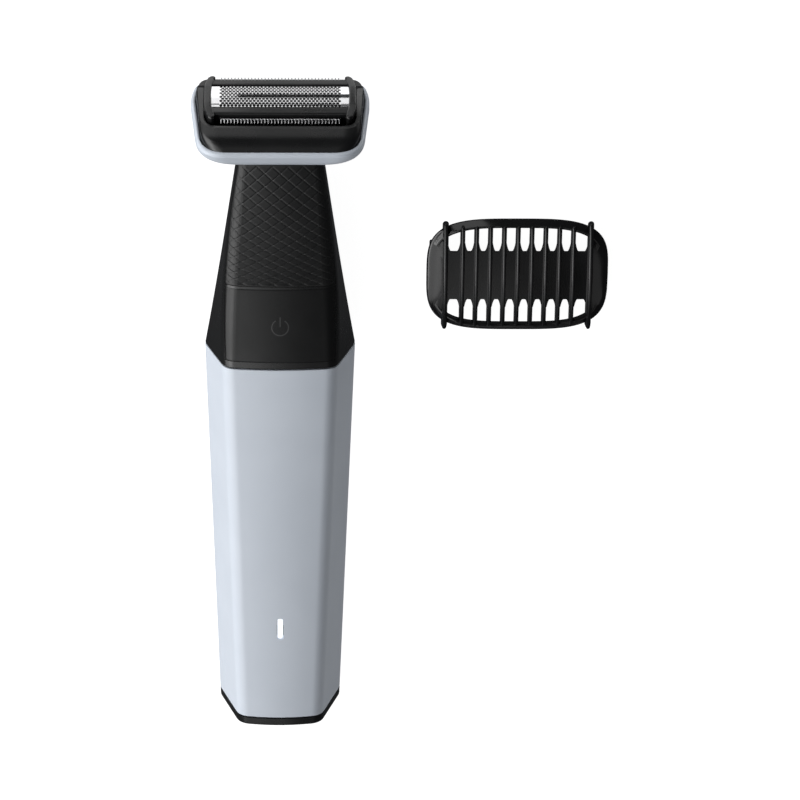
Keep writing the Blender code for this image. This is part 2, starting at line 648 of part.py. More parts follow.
def make_comb(comb, gloss):
    """One moulding: a shallow ring on two clip legs, end cheeks, a plate over the foil and ribs across."""
    low, high = COMB_RING_Z
    outer = [[(x, y, z) for x, y in comb_outline(inset)]
             for z, inset in ((low, 0.0), (high - 1, 0.0), (high, 0.8))]
    inner = [[(x, y, z) for x, y in comb_outline(inset)]
             for z, inset in ((low, 1.7), (high - 1, 1.9), (high, 2.2))]
    made = solid("click_on_comb", tube(outer, inner), gloss, comb)
    leg = rounded([(COMB_HALF[0] - 2.5, 0), (COMB_HALF[0] - 0.9, 0), (COMB_HALF[0] - 0.7, low + 0.6),
                   (COMB_HALF[0] - 2.1, low + 0.6), (COMB_HALF[0] - 2.1, 2.2)], [0.5, 0.4, 0.1, 0.1, 0.5], 3)
    legs = [[(x * side, y, z) for x, z in leg] for side in (1, -1) for y in (-COMB_LEG_Y, COMB_LEG_Y)]
    carve(made, together(loft(legs[:2]), loft(legs[2:])), "UNION")
    plate = box((-COMB_THICK_RIB_X, COMB_THICK_RIB_X), (-COMB_PLATE_Y, COMB_PLATE_Y), COMB_PLATE_Z)
    carve(made, plate, "UNION")
    cheeks = []
    for side in (-1, 1):
        edge = [(side * abs(x), y) for x, y in comb_outline(1.0) if x * side >= 19.0]
        edge.sort(key=lambda p: math.atan2(p[1], p[0] * side))
        cheeks.append(prism(edge, 4.9, 6.4))
    carve(made, together(*cheeks), "UNION")
    span = COMB_RIB_PITCH * (COMB_THIN_RIBS - 1) / 2
    ribs = []
    for x in [-COMB_THICK_RIB_X, *steps_between(-span, span, COMB_THIN_RIBS - 1), COMB_THICK_RIB_X]:
        thick = abs(x) == COMB_THICK_RIB_X
        half, reach = (0.8, 16.4) if thick else (0.6, 15.4)
        profile = rounded([(-reach, 4.7), (reach, 4.7), (reach, 6.4), (0, 9.2), (-reach, 6.4)],
                          [0.3, 0.3, 0.9, 9.0, 0.9], 3)
        ribs.append(prism(profile, x - half, x + half, "x"))
    carve(made, together(*ribs), "UNION")


# ---------------------------------------------------------------- the whole object

def clear_scene():
    for thing in list(bpy.data.objects):
        bpy.data.objects.remove(thing, do_unlink=True)


def main():
    clear_scene()
    groomer = empty("groomer", None, (0, -REST_Y, 0))
    head = empty("head", groomer, (0, *HEAD_ORIGIN), HEAD_TILT - 90.0)
    comb = empty("comb", groomer, (*COMB_XY, 0))
    pale = material("pale_shell", PALE, 0.45)
    black = material("black_plastic", BLACK, 0.45)
    gloss = material("gloss_black", BLACK, 0.15)
    rubber = material("rubber", (0.02, 0.02, 0.02), 0.8)
    steel = material("steel", STEEL, 0.3, 1.0)
    brass = material("brass", BRASS, 0.3, 1.0)
    inner = material("inner_plastic", (0.75, 0.75, 0.72), 0.5)
    green = material("circuit_green", (0.02, 0.16, 0.06), 0.4)
    wrap = material("cell_wrap", (0.04, 0.16, 0.30), 0.35)
    make_shells(groomer, pale, black)
    make_base(groomer, black, steel)
    make_inside(groomer, inner, steel, green, wrap)
    make_motor(groomer, steel, inner, brass)
    make_drive(groomer, head, steel, inner)
    make_collar(groomer, pale)
    make_casing(head, black, rubber)
    make_cartridge(head, black)
    make_foil(head, steel)
    make_trimmers(head, steel)
    make_cutter(head, inner, steel)
    screw("grip_screw", (0, GRIP_SCREW_Y), 0.3, 7.0, "z", steel, groomer)
    make_comb(comb, gloss)


main()
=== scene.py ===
"""The looks of the body groomer: its visible pieces, materials, light and camera, round the CAD frame.

Shapes are worked out in millimetres, in the frames that the CAD model uses. The groomer's frame has Y
from the base to the head and Z out of the flat back. The head's frame sits on top of the foil: x along
it, y across it towards the back trimmer and z out of it. The comb's frame stands under its middle.
"""
import json
import math

import bmesh
import bpy
from mathutils import Matrix, Vector

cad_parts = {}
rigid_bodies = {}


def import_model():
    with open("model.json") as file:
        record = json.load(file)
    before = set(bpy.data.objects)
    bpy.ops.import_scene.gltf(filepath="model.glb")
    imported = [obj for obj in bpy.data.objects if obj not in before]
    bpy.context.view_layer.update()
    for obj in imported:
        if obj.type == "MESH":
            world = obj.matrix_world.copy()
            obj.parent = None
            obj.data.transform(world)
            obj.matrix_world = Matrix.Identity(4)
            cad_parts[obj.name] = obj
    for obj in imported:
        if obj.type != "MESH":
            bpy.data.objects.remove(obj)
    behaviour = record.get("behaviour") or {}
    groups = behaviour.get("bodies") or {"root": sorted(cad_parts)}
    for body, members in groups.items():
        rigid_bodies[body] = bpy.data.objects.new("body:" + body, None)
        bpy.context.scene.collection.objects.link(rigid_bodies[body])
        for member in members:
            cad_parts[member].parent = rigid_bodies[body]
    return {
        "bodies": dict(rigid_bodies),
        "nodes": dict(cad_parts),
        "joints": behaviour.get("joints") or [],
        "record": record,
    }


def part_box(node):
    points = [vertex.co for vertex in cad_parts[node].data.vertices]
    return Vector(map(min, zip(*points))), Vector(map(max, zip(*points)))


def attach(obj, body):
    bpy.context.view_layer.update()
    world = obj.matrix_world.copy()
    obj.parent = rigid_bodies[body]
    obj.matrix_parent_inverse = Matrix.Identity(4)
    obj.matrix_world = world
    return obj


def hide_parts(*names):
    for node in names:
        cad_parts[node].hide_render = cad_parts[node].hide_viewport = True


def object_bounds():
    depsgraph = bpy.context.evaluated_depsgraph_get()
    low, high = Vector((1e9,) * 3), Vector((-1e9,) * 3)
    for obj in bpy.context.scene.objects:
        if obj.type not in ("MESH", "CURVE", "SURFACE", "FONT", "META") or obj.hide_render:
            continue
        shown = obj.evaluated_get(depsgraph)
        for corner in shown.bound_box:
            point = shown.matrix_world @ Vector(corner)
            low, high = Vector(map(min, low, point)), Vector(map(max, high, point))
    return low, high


MM = 0.001
CAMERA_TILT = math.radians(25.0)     # from straight down towards the head
CAMERA_DISTANCE = 1.1
CAMERA_TARGET = (0.0, 0.0372, 0.013)
CAMERA_LENS = 175.9                  # on Blender's sensor, 36 mm wide

# The handle: the CAD model's sections, as half-widths, heights and corner roundings.
GAP = 0.3
WALL = 1.8
REST_Y = 60.0
SECTION = ("y", "back_x", "back_z", "wide_x", "wide_z", "front_x", "front_z", "crown_z",
           "back_ease", "wide_ease", "front_ease")
BASE_SECTION = (0.0, 12.0, 0.0, 18.1, 6.3, 11.6, 26.0, 27.0, 3.0, 3.6, 3.2)
SPLIT_SECTION = (113.0, 14.5, 0.0, 22.0, 6.6, 15.3, 26.5, 27.5, 3.5, 4.4, 3.4)
MID_SECTION = (142.5, 12.5, 1.2, 16.5, 9.5, 15.2, 24.3, 25.2, 3.5, 4.0, 4.6)
NECK_SECTION = (172.0, 8.6, 4.4, 12.0, 13.0, 11.6, 20.6, 21.5, 3.0, 3.0, 3.0)
SPLIT_Y = SPLIT_SECTION[0]
NECK_Y = NECK_SECTION[0]
CAP_Y = 2.3
DRIVE_Z = 12.5
GRIP_SCREW_Y = 123.0
PANEL_EDGE = 0.35
PANEL_GAP = 0.06

# The head.
HEAD_ORIGIN = (189.9, 16.0)
HEAD_TILT = math.radians(20.0)
FOIL_X = 18.8
FOIL_EDGES = (-4.4, 3.7)
FOIL_RADIUS = 14.0
FRAME_X = 20.5
FRAME_FRONT = -9.3
FRAME_BACK = 9.2
FRAME_FLOOR = -8.0
FRAME_STEP = -3.4
CHEEK_X = 19.0
WELL_FRONT = -10.3
TEETH_X = 16.5
TEETH = 36
GUARD_Z = -1.9
CASING_TOP = -2.2
CASING_BACK_TOP = -4.3
RIM_TOP = -6.5
RIM_BOTTOM = -10.9
CASING_FLOOR = (-11.6, -8.8)

# The comb.
COMB_HALF = (25.45, 16.8)
COMB_POWER = 3.6
COMB_RING_Z = (4.3, 6.6)
COMB_LEG_Y = 8.5
COMB_PLATE = (7.1, 4.8, 6.0)         # half-width, underside and top
COMB_RIB_PITCH = 3.86
COMB_THIN_RIBS = 9
COMB_THICK_RIB_X = 20.25


# ---------------------------------------------------------------- camera, floor and light

def make_camera(middle_x):
    """Above the front, leaning towards the head; swung so that groomer and comb are both centred."""
    data = bpy.data.cameras.new("camera")
    data.lens = CAMERA_LENS
    data.clip_end = 20.0
    camera = bpy.data.objects.new("camera", data)
    bpy.context.scene.collection.objects.link(camera)
    out = Vector((0, math.sin(CAMERA_TILT), math.cos(CAMERA_TILT)))
    up = Vector((0, math.cos(CAMERA_TILT), -math.sin(CAMERA_TILT)))
    target = Vector(CAMERA_TARGET)
    place = target + out * CAMERA_DISTANCE
    back = (place - target - Vector((middle_x, 0, 0))).normalized()
    right = up.cross(back).normalized()
    basis = Matrix((right, back.cross(right), back)).transposed()
    camera.matrix_world = Matrix.Translation(place) @ basis.to_4x4()
    bpy.context.scene.camera = camera


def area_light(name, place, aim, size, radiance, colour=(1, 1, 1)):
    """A softbox: its power follows from its size, so that radiance alone says how bright it looks."""
    data = bpy.data.lights.new(name, "AREA")
    data.shape = "RECTANGLE"
    data.size, data.size_y = size
    data.energy = radiance * math.pi * size[0] * size[1]
    data.color = colour
    light = bpy.data.objects.new(name, data)
    bpy.context.scene.collection.objects.link(light)
    light.location = place
    light.rotation_euler = (Vector(aim) - Vector(place)).to_track_quat("-Z", "Y").to_euler()


def make_floor():
    reach = 3.0
    mesh = bpy.data.meshes.new("floor")
    mesh.from_pydata([(-reach, -reach, 0), (reach, -reach, 0), (reach, reach, 0), (-reach, reach, 0)],
                     [], [(0, 1, 2, 3)])
    floor = bpy.data.objects.new("floor", mesh)
    bpy.context.scene.collection.objects.link(floor)
    paint = bpy.data.materials.new("floor_paint")
    paint.use_nodes = True
    shader = paint.node_tree.nodes["Principled BSDF"]
    shader.inputs["Base Color"].default_value = (0.25, 0.25, 0.25, 1)
    shader.inputs["Roughness"].default_value = 0.9
    shader.inputs["Emission Color"].default_value = (1, 1, 1, 1)
    shader.inputs["Emission Strength"].default_value = 0.97
    mesh.materials.append(paint)
    floor.visible_glossy = False


def make_card(name, x, y, glow):
    """A card on the floor before the head, which only shows as a reflection in polished metal."""
    mesh = bpy.data.meshes.new(name)
    mesh.from_pydata([(x[0], y[0], MM), (x[1], y[0], MM), (x[1], y[1], MM), (x[0], y[1], MM)],
                     [], [(0, 1, 2, 3)])
    card = bpy.data.objects.new(name, mesh)
    bpy.context.scene.collection.objects.link(card)
    paint = bpy.data.materials.new(name + "_paint")
    paint.use_nodes = True
    shader = paint.node_tree.nodes["Principled BSDF"]
    shader.inputs["Emission Color"].default_value = (1, 1, 1, 1)
    shader.inputs["Emission Strength"].default_value = glow
    mesh.materials.append(paint)
    card.visible_camera = False
    card.visible_diffuse = False
    card.visible_shadow = False


def make_studio():
    scene = bpy.context.scene
    scene.view_settings.view_transform = "Standard"
    world = bpy.data.worlds.new("studio")
    world.use_nodes = True
    world.node_tree.nodes["Background"].inputs["Color"].default_value = (0.93, 0.96, 1.0, 1)
    world.node_tree.nodes["Background"].inputs["Strength"].default_value = 0.05
    scene.world = world
    make_floor()
    make_card("near_card", (-0.08, 0.08), (0.134, 0.156), 0.75)
    make_card("side_card", (-0.08, -0.012), (0.156, 0.179), 0.75)
    make_card("far_card", (-0.4, 0.4), (0.179, 2.0), 0.48)
    area_light("overhead_softbox", (-0.17, -0.40, 1.2), (-0.1, -0.2, 0.0), (0.34, 1.2), 0.5)
    area_light("outer_softbox", (-0.78, -0.40, 1.2), (-0.3, -0.2, 0.0), (0.8, 1.2), 1.7)
    area_light("comb_softbox", (0.04, -0.62, 1.2), (0.05, 0.0, 0.0), (0.2, 0.36), 1.0)
    area_light("left_softbox", (-1.0, 0.1, 0.62), (0, 0.03, 0.01), (1.2, 1.2), 3.6)
    area_light("right_softbox", (0.57, -0.54, 1.2), (0.09, 0.0, 0.0), (0.3, 0.5), 0.4)
    area_light("head_softbox", (-0.45, 1.0, 0.3), (0, 0.1, 0.02), (1.1, 0.5), 1.2)


# ---------------------------------------------------------------- materials

def plain(name, colour, roughness, metallic=0.0, **sockets):
    made = bpy.data.materials.new(name)
    made.use_nodes = True
    shader = made.node_tree.nodes["Principled BSDF"]
    shader.inputs["Base Color"].default_value = (*colour, 1)
    shader.inputs["Roughness"].default_value = roughness
    shader.inputs["Metallic"].default_value = metallic
    for socket, value in sockets.items():
        shader.inputs[socket.replace("_", " ")].default_value = value
    return made


def add_grain(made, scale, strength, distance, detail=3.0, stretch=(1, 1, 1)):
    """A fine bump from noise in the object's own coordinates; stretch makes it run one way."""
    tree = made.node_tree
    place = tree.nodes.new("ShaderNodeTexCoord")
    mapping = tree.nodes.new("ShaderNodeMapping")
    mapping.inputs["Scale"].default_value = stretch
    noise = tree.nodes.new("ShaderNodeTexNoise")
    noise.inputs["Scale"].default_value = scale
    noise.inputs["Detail"].default_value = detail
    bump = tree.nodes.new("ShaderNodeBump")
    bump.inputs["Strength"].default_value = strength
    bump.inputs["Distance"].default_value = distance
    tree.links.new(place.outputs["Object"], mapping.inputs["Vector"])
    tree.links.new(mapping.outputs["Vector"], noise.inputs["Vector"])
    tree.links.new(noise.outputs["Fac"], bump.inputs["Height"])
    tree.links.new(bump.outputs["Normal"], tree.nodes["Principled BSDF"].inputs["Normal"])
    return noise


def vary(made, socket, scale, low, high, stretch=(1, 1, 1)):
    """Lets a socket wander between two values or colours, following large soft noise."""
    tree = made.node_tree
    place = tree.nodes.new("ShaderNodeTexCoord")
    mapping = tree.nodes.new("ShaderNodeMapping")
    mapping.inputs["Scale"].default_value = stretch
    noise = tree.nodes.new("ShaderNodeTexNoise")
    noise.inputs["Scale"].default_value = scale
    noise.inputs["Detail"].default_value = 2.0
    ramp = tree.nodes.new("ShaderNodeValToRGB")
    for element, place_on_ramp, value in zip(ramp.color_ramp.elements, (0.35, 0.65), (low, high)):
        element.position = place_on_ramp
        element.color = (*value, 1) if isinstance(value, tuple) else (value, value, value, 1)
    tree.links.new(place.outputs["Object"], mapping.inputs["Vector"])
    tree.links.new(mapping.outputs["Vector"], noise.inputs["Vector"])
    tree.links.new(noise.outputs["Fac"], ramp.inputs["Fac"])
    tree.links.new(ramp.outputs["Color"], tree.nodes["Principled BSDF"].inputs[socket])


def pale_paint():
    made = plain("pale_lacquer", (0.555, 0.60, 0.665), 0.42, Coat_Weight=0.25, Coat_Roughness=0.3)
    vary(made, "Base Color", 60.0, (0.545, 0.590, 0.655), (0.565, 0.610, 0.675))
    add_grain(made, 5200.0, 0.05, 0.00004)
    return made


def satin_black():
    made = plain("satin_black_moulding", (0.0060, 0.0062, 0.0065), 0.28)
    vary(made, "Roughness", 90.0, 0.26, 0.31)
    add_grain(made, 4200.0, 0.12, 0.00004)
    return made


def grip_rubber(name, roughness, gloss):
    made = plain(name, (0.0060, 0.0062, 0.0064), roughness, Sheen_Weight=0.02, Sheen_Roughness=0.4,
                 Specular_IOR_Level=gloss)
    vary(made, "Roughness", 120.0, roughness * 0.93, roughness * 1.1)
    add_grain(made, 6000.0, 0.14, 0.00003)
    return made


def gloss_black():
    made = plain("gloss_black_moulding", (0.006, 0.006, 0.0065), 0.12)
    vary(made, "Roughness", 40.0, 0.10, 0.16)
    add_grain(made, 260.0, 0.02, 0.00006)
    return made


def icon_ink():
    made = plain("icon_ink", (0.030, 0.030, 0.031), 0.3)
    add_grain(made, 3000.0, 0.05, 0.00002)
    return made


def steel(name, colour, roughness, stretch=(1, 1, 1)):
    made = plain(name, colour, roughness, 1.0)
    vary(made, "Roughness", 300.0, roughness * 0.8, roughness * 1.25, stretch)
    add_grain(made, 2400.0, 0.08, 0.00003, 4.0, stretch)
    return made


def moulding(name, colour, roughness=0.5):
    made = plain(name, colour, roughness)
    vary(made, "Roughness", 90.0, roughness * 0.9, roughness * 1.1)
    add_grain(made, 3500.0, 0.1, 0.00004)
    return made


def lamp_glow():
    made = plain("lamp_glow", (0.92, 0.95, 1.0), 0.25, Emission_Strength=0.6)
    vary(made, "Emission Color", 700.0, (0.90, 0.95, 1.0), (1.0, 1.0, 1.0))
    return made


# ---------------------------------------------------------------- making pieces

def on_groomer(x, y, z):
    return Vector((x, y - REST_Y, z)) * MM


def on_head(x, across, out):
    y = HEAD_ORIGIN[0] + across * math.sin(HEAD_TILT) + out * math.cos(HEAD_TILT)
    z = HEAD_ORIGIN[1] - across * math.cos(HEAD_TILT) + out * math.sin(HEAD_TILT)
    return on_groomer(x, y, z)


def on_comb(x, y, z):
    return comb_middle + Vector((x, y, z)) * MM


def build(name, shape, place, look=None):
    points, faces = shape
    mesh = bpy.data.meshes.new(name)
    bm = bmesh.new()
    corners = [bm.verts.new(place(*p)) for p in points]
    for face in faces:
        bm.faces.new([corners[i] for i in face])
    bmesh.ops.recalc_face_normals(bm, faces=bm.faces)
    bm.to_mesh(mesh)
    bm.free()
    made = bpy.data.objects.new(name, mesh)
    bpy.context.scene.collection.objects.link(made)
    if look:
        mesh.materials.append(look)
    return made


def settle(made):
    """Applies the modifiers, so that the mesh is what shows."""
    graph = bpy.context.evaluated_depsgraph_get()
    mesh = bpy.data.meshes.new_from_object(made.evaluated_get(graph))
    made.modifiers.clear()
    made.data = mesh


def combine(made, shape, place, operation="DIFFERENCE"):
    """Cuts a shape out of a piece, or joins it on."""
    tool = build(made.name + "_tool", shape, place)
    step = made.modifiers.new(operation, "BOOLEAN")
    step.operation = operation
    step.object = tool
    step.solver = "MANIFOLD"
    settle(made)
    bpy.data.objects.remove(tool)


def soften(made, width, segments=2, angle=32.0):
    """Rounds the sharp edges a little, as a moulded or ground edge is."""
    step = made.modifiers.new("edges", "BEVEL")
    step.width = width * MM
    step.segments = segments
    step.limit_method = "ANGLE"
    step.angle_limit = math.radians(angle)
    step.miter_outer = "MITER_ARC"
    settle(made)


def finish_piece(made, body, slot, *nodes, sharp=34.0):
    made.data.shade_smooth()
    made.data.set_sharp_from_angle(angle=math.radians(sharp))
    weigh = made.modifiers.new("normals", "WEIGHTED_NORMAL")
    weigh.keep_sharp = True
    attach(made, body)
    if nodes:
        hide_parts(*nodes)
    return made


# ---------------------------------------------------------------- shapes

def together(*shapes):
    points = []
    faces = []
    for some_points, some_faces in shapes:
        start = len(points)
        points += list(some_points)
        faces += [[start + i for i in face] for face in some_faces]
    return points, faces


def loft(rings):
    """A closed solid through rings of equal numbers of points, with a flat cap at both ends."""
    count = len(rings[0])
    points = [p for ring in rings for p in ring]
    faces = [list(range(count)), [len(points) - count + i for i in range(count)]]
    for k in range(len(rings) - 1):
        for i in range(count):
            j = (i + 1) % count
            faces.append([k * count + i, k * count + j, (k + 1) * count + j, (k + 1) * count + i])
    return points, faces


def tube(outer, inner):
    """A closed wall between outer and inner rings, open at both ends."""
    rings = outer + inner[::-1]
    count = len(rings[0])
    points = [p for ring in rings for p in ring]
    faces = []
    for k in range(len(rings)):
        after = (k + 1) % len(rings)
        for i in range(count):
            j = (i + 1) % count
            faces.append([k * count + i, k * count + j, after * count + j, after * count + i])
    return points, faces


def prism(outline, low, high, along="z"):
    """A flat outline pushed out along an axis. The outline's two numbers are the other two axes."""
    place = {"x": lambda a, b, c: (c, a, b), "y": lambda a, b, c: (a, c, b),
             "z": lambda a, b, c: (a, b, c)}[along]
    return loft([[place(a, b, c) for a, b in outline] for c in (low, high)])


def box(x, y, z):
    return prism([(x[0], y[0]), (x[1], y[0]), (x[1], y[1]), (x[0], y[1])], *z)


def disc(radius, low, high, centre=(0, 0), along="z", sides=48):
    turns = [2 * math.pi * i / sides for i in range(sides)]
    outline = [(centre[0] + radius * math.cos(t), centre[1] + radius * math.sin(t)) for t in turns]
    return prism(outline, low, high, along)


def bend(before, corner, after, ease, steps):
    """Points of a smooth bend in place of a corner, reaching ease along both of its sides."""
    here, back, ahead = Vector(corner), Vector(before) - Vector(corner), Vector(after) - Vector(corner)
    reach = min(ease, back.length * 0.48, ahead.length * 0.48)
    start = here + back.normalized() * reach
    end = here + ahead.normalized() * reach
    shares = [k / steps for k in range(steps + 1)]
    return [tuple(start * (1 - t) ** 2 + here * 2 * t * (1 - t) + end * t ** 2) for t in shares]


def rounded(corners, eases, steps=8):
    outline = []
    for i, ease in enumerate(eases):
        outline += bend(corners[i - 1], corners[i], corners[(i + 1) % len(corners)], ease, steps)
    return outline


def rounded_side(corners, eases, steps):
    points = []
    for i, ease in enumerate(eases, start=1):
        points += bend(corners[i - 1], corners[i], corners[i + 1], ease, steps)
    return points


def spread(low, high, count):
    return [low + (high - low) * i / count for i in range(count + 1)]


def eased_ends(low, high, count, radius=0.3):
    """Places along a part and how far its surface draws in there: a small rounding at both ends."""
    turns = [math.pi / 2 * k / 4 for k in range(5)]
    start = [(low + radius * (1 - math.sin(t)), radius * (1 - math.cos(t))) for t in reversed(turns)]
    middle = [(y, 0.0) for y in spread(low + radius, high - radius, count)[1:-1]]
    end = [(low + high - y, inset) for y, inset in reversed(start)]
    return start + middle + end


def smooth_through(rings, steps):
    """More rings, on a smooth curve through the given ones, point by point."""
    made = []
    for k in range(len(rings) - 1):
        before, here, after, far = (rings[max(k - 1, 0)], rings[k], rings[k + 1],
                                    rings[min(k + 2, len(rings) - 1)])
        for s in range(steps):
            t = s / steps
            weights = (-0.5 * t + t * t - 0.5 * t ** 3, 1 - 2.5 * t * t + 1.5 * t ** 3,
                       0.5 * t + 2 * t * t - 1.5 * t ** 3, -0.5 * t * t + 0.5 * t ** 3)
            made.append([tuple(sum(w * p[i] for w, p in zip(weights, four)) for i in range(3))
                         for four in zip(before, here, after, far)])
    return made + [rings[-1]]


# ---------------------------------------------------------------- the handle's outside

def section(y):
    """The section's measures at one place along the handle: straight to the split, then a curve."""
    if y <= SPLIT_Y:
        t = y / SPLIT_Y
        values = [a + (b - a) * t for a, b in zip(BASE_SECTION, SPLIT_SECTION)]
    else:
        t = (y - SPLIT_Y) / (NECK_Y - SPLIT_Y)
        values = [a * (1 - t) * (1 - 2 * t) + b * 4 * t * (1 - t) + c * t * (2 * t - 1)
                  for a, b, c in zip(SPLIT_SECTION, MID_SECTION, NECK_SECTION)]
    return dict(zip(SECTION, values))


CORNER_STEPS = 10
CROWN_STEPS = 12
PARTING = 1 + CORNER_STEPS + 1 + CORNER_STEPS // 2     # index of the widest point in half_section


def half_section(y, inset=0.0):
    """Points (x, z) up the right side, from the middle of the back to the crown of the front."""
    s = section(y)
    back_z = s["back_z"] + inset
    corners = [(0, back_z), (s["back_x"] - inset * 0.6, back_z), (s["wide_x"] - inset, s["wide_z"]),
               (s["front_x"] - inset, s["front_z"] - inset), (0, s["crown_z"] - inset)]
    eases = [s["back_ease"], s["wide_ease"], s["front_ease"]]
    points = [corners[0]] + rounded_side(corners, eases, CORNER_STEPS)
    edge = points[-1]
    flat = corners[-1]
    for t in spread(0, 1, CROWN_STEPS)[1:]:
        points.append((edge[0] * (1 - t), edge[1] + (flat[1] - edge[1]) * (1 - (1 - t) ** 2)))
    return points


def full_ring(y, inset=0.0):
    right = half_section(y, inset)
    left = [(-x, z) for x, z in reversed(right[1:-1])]
    return [(x, y, z) for x, z in right + left]


def half_wall(y, front, inset=0.0):
    """The closed section of a front or back shell: outside round, then inside back."""
    rim = GAP / 2 if front else -GAP / 2
    sides = []
    for depth in (inset, inset + WALL):
        right = half_section(y, depth)
        right = right[PARTING:] if front else right[:PARTING + 1]
        edge = 0 if front else -1
        right[edge] = (right[edge][0], right[edge][1] + rim)
        path = right if front else right[::-1]
        sides.append(path + [(-x, z) for x, z in reversed(path[:-1])])
    outline = sides[0] + sides[1][::-1]
    return [(x, y, z) for x, z in outline]


def front_height(x, y):
    """Height of the front surface above the back plane, at one point of it."""
    line = half_section(y)[PARTING:]
    for (x0, z0), (x1, z1) in zip(line, line[1:]):
        if x1 <= abs(x) <= x0:
            return z1 + (z0 - z1) * (abs(x) - x1) / (x0 - x1)
    return line[0][1]


def front_patch(span, side, depth, lift=0.0, across=24, along=24, relief=None):
    """A panel that follows the front: side is its distance in from the front face's edge."""
    rings = []
    for y in spread(*span, along):
        reach = section(y)["front_x"] - side
        xs = spread(-reach, reach, across)
        raised = [relief(x, y, reach) if relief else 0.0 for x in xs]
        top = [(x, y, front_height(x, y) + lift + up) for x, up in zip(xs, raised)]
        under = [(x, y, front_height(x, y) - depth) for x in (reach, -reach)]
        rings.append(top + under)
    return loft(rings)


def make_shell(name, span, count, front, look):
    rings = [half_wall(y, front, inset) for y, inset in eased_ends(*span, count)]
    return build(name, loft(rings), on_groomer, look)


def make_body(look):
    """The two pale shells, with the lamp's slot through the front one."""
    span = (CAP_Y + GAP, SPLIT_Y - GAP / 2)
    front = make_shell("front_shell_skin", span, 6, True, look)
    low, high = (Vector(v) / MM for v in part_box("light_pipe"))
    half = (high.x - low.x) / 2 + GAP / 2
    ends = (low.y + REST_Y - GAP / 2, high.y + REST_Y + GAP / 2)
    slot = rounded([(-half, ends[0]), (half, ends[0]), (half, ends[1]), (-half, ends[1])], [0.9] * 4)
    combine(front, prism(slot, 20, 30), on_groomer)
    finish_piece(front, "handle", "pale_shell", "front_body_shell")
    back = make_shell("back_shell_skin", span, 6, False, look)
    finish_piece(back, "handle", "pale_shell", "back_body_shell")


def node_span(node):
    low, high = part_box(node)
    return low.y / MM + REST_Y, high.y / MM + REST_Y


def make_grip_shells(look):
    span = (SPLIT_Y + GAP / 2, NECK_Y)
    grip = make_shell("grip_front_skin", span, 28, True, look)
    for span, depth in ((node_span("power_button"), 2.3), (pad_span(), 1.15)):
        recess = (span[0] - PANEL_GAP, span[1] + PANEL_GAP)
        combine(grip, front_patch(recess, PANEL_EDGE - PANEL_GAP, depth, 2.0), on_groomer)
    finish_piece(grip, "handle", "black_plastic", "grip_front_shell")
    back = make_shell("grip_back_skin", span, 28, False, look)
    combine(back, disc(1.9, -3, 1.6, (0, GRIP_SCREW_Y)), on_groomer)
    combine(back, disc(1.2, -3, 10, (0, GRIP_SCREW_Y)), on_groomer)
    finish_piece(back, "handle", "black_plastic", "grip_back_shell")


DIAMOND_WIDTH = 4.2
DIAMOND_HEIGHTS = (1.8, 3.9)      # at the pad's lower and upper ends
GROOVE_DEPTH = 0.15
SCALE_DEPTH = 0.2                 # how far each diamond leans, at the lower end
GROOVE_HALF = 0.085               # as a share of a diamond


def pad_span():
    """The pad runs from the button right up under the head's collar."""
    return node_span("grip_pad")[0], NECK_Y - 0.4


def make_grip_pad(look):
    """The soft pad, covered in low diamonds that flatten towards the button."""
    low, high = pad_span()
    growth = (DIAMOND_HEIGHTS[1] - DIAMOND_HEIGHTS[0]) / (high - low)

    def groove(phase):
        off = abs(phase - round(phase))
        return max(0.0, 1 - off / GROOVE_HALF)

    def relief(x, y, reach):
        rows = math.log(1 + growth * (y - low) / DIAMOND_HEIGHTS[0]) / growth
        columns = x / DIAMOND_WIDTH
        cut = max(groove(columns + rows), groove(columns - rows))
        slope = (columns + rows) - math.floor(columns + rows)
        border = min(reach - abs(x), y - low, high - y)
        fade = min(1.0, max(0.0, (border - 0.3) / 0.5))
        edge = max(0.0, 1 - border / 0.25)
        scale = SCALE_DEPTH * (1 - 0.7 * (y - low) / (high - low))
        return -fade * (cut * GROOVE_DEPTH + scale * slope) - 0.08 * edge ** 2

    pad = build("grip_pad_skin", front_patch((low, high), PANEL_EDGE, 0.8, 0, 200, 220, relief),
                on_groomer, look)
    finish_piece(pad, "handle", "soft_grip", "grip_pad", sharp=60.0)


ICON_RADIUS = 2.3
ICON_LINE = 0.16
ICON_OPENING = math.radians(32)
ICON_Y = -0.3                     # from the button's middle
SWITCH_POCKET_X = 3.5             # the button is hollow over the switch, by its travel and a little more
SWITCH_POCKET_Z = (20.0, 24.0)


def surface_strip(path, half, lift):
    """A thin closed strip that follows a path of points (x, y) over the front surface."""
    rings = []
    for k, (x, y) in enumerate(path):
        x0, y0 = path[max(k - 1, 0)]
        x1, y1 = path[min(k + 1, len(path) - 1)]
        side = Vector((y0 - y1, x1 - x0)).normalized() * half
        ring = []
        for share, rise in ((-1, -0.1), (-1, lift * 0.6), (0, lift), (1, lift * 0.6), (1, -0.1)):
            px, py = x + side.x * share, y + side.y * share
            ring.append((px, py, front_height(px, py) + rise))
        rings.append(ring)
    return loft(rings)


